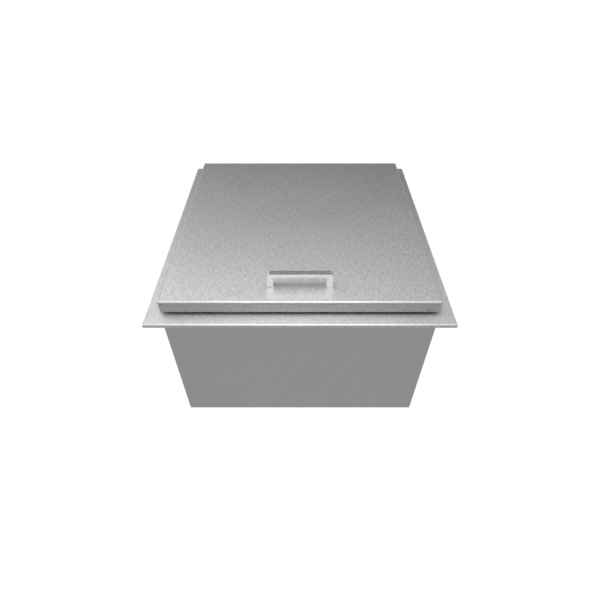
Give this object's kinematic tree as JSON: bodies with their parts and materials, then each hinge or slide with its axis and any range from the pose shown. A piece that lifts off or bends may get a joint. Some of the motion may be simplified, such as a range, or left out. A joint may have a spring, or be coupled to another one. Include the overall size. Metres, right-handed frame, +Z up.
{
  "type": "drop-in cooler",
  "caption": "Insulated drop-in cooler: a wide rim that rests on a counter, a coved tub with a floor drain, and a rear-hinged insulated lid with a bar pull.",
  "frame": {"origin": "centre of the counter plane on which the underside of the rim rests", "axes": "+X to the right, +Y to the back, where the hinge is, +Z up"},
  "size_m": [0.508, 0.527, 0.3806],
  "materials": {
    "lid_steel": "satin",
    "rim_steel": "satin",
    "shell_steel": "satin",
    "liner_steel": "satin",
    "handle_steel": "satin",
    "hinge_steel": "satin",
    "fastener_steel": "polished",
    "drain_steel": "polished",
    "gasket_rubber": "matte",
    "stopper_rubber": "matte",
    "seal_foam": "matte",
    "insulation_foam": "matte"
  },
  "bodies": {
    "tub": {"rim_frame": "rim_steel", "counter_gasket": "seal_foam", "outer_shell": "shell_steel", "base_plate": "shell_steel", "inner_liner": "liner_steel", "insulation_front": "insulation_foam", "insulation_rear": "insulation_foam", "insulation_left": "insulation_foam", "insulation_right": "insulation_foam", "insulation_base": "insulation_foam", "hinge_leaf_rim": "hinge_steel", "hinge_pin": "hinge_steel", "hinge_rivets_rim": "fastener_steel", "drain_body": "drain_steel", "drain_seal": "gasket_rubber", "drain_washer": "gasket_rubber", "drain_locknut": "drain_steel", "drain_strainer": "drain_steel"},
    "lid": {"lid_outer": "lid_steel", "lid_pan": "liner_steel", "lid_insulation": "insulation_foam", "lid_gasket": "gasket_rubber", "hinge_leaf_lid": "hinge_steel", "hinge_rivets_lid": "fastener_steel", "handle": "handle_steel", "handle_screws": "fastener_steel", "handle_washers": "fastener_steel"},
    "stopper": {"drain_stopper": "stopper_rubber"}
  },
  "joints": [
    {"name": "lid_hinge", "type": "hinge", "parent": "tub", "child": "lid", "pos_m": [0, 0.2393, 0.0108], "axis": [-1, 0, 0], "range_deg": [0, 100]},
    {"name": "stopper_lift", "type": "slide", "parent": "tub", "child": "stopper", "axis": [0, 0, 1], "range_m": [0, 0.06]}
  ]
}
